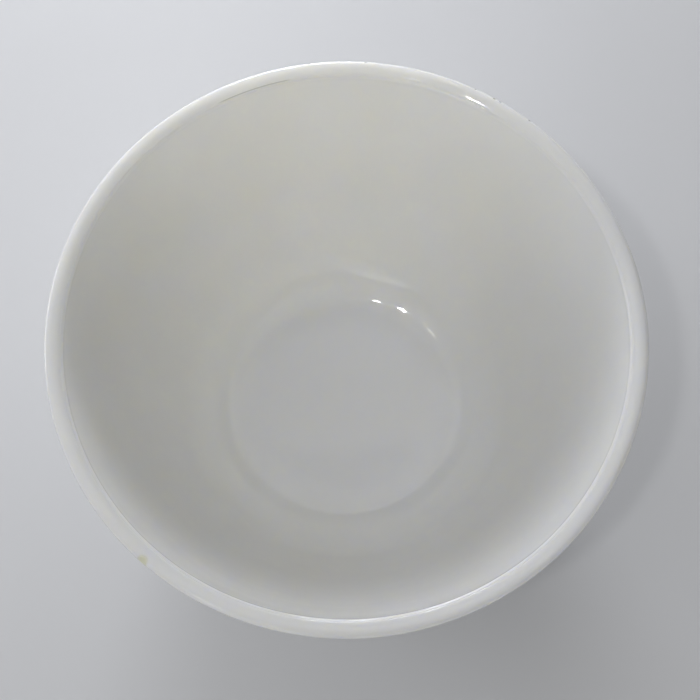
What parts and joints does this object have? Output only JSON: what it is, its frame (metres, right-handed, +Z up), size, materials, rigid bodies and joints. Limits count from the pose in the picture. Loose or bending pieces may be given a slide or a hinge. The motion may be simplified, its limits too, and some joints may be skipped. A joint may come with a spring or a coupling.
{
  "type": "shaving bowl",
  "caption": "Round shaving bowl of white opal glass, with a rounded lip, a curved wall, a flat round floor and a low foot ring, for working up lather with a brush.",
  "frame": {"origin": "centre of the circle that the foot ring stands on", "axes": "+Z up along the bowl's axis; the bowl is round, so X and Y are any two level directions at right angles"},
  "size_m": [0.114, 0.114, 0.063],
  "materials": {
    "opal_glass": "gloss"
  },
  "bodies": {
    "root": {"bowl": "opal_glass"}
  },
  "joints": []
}
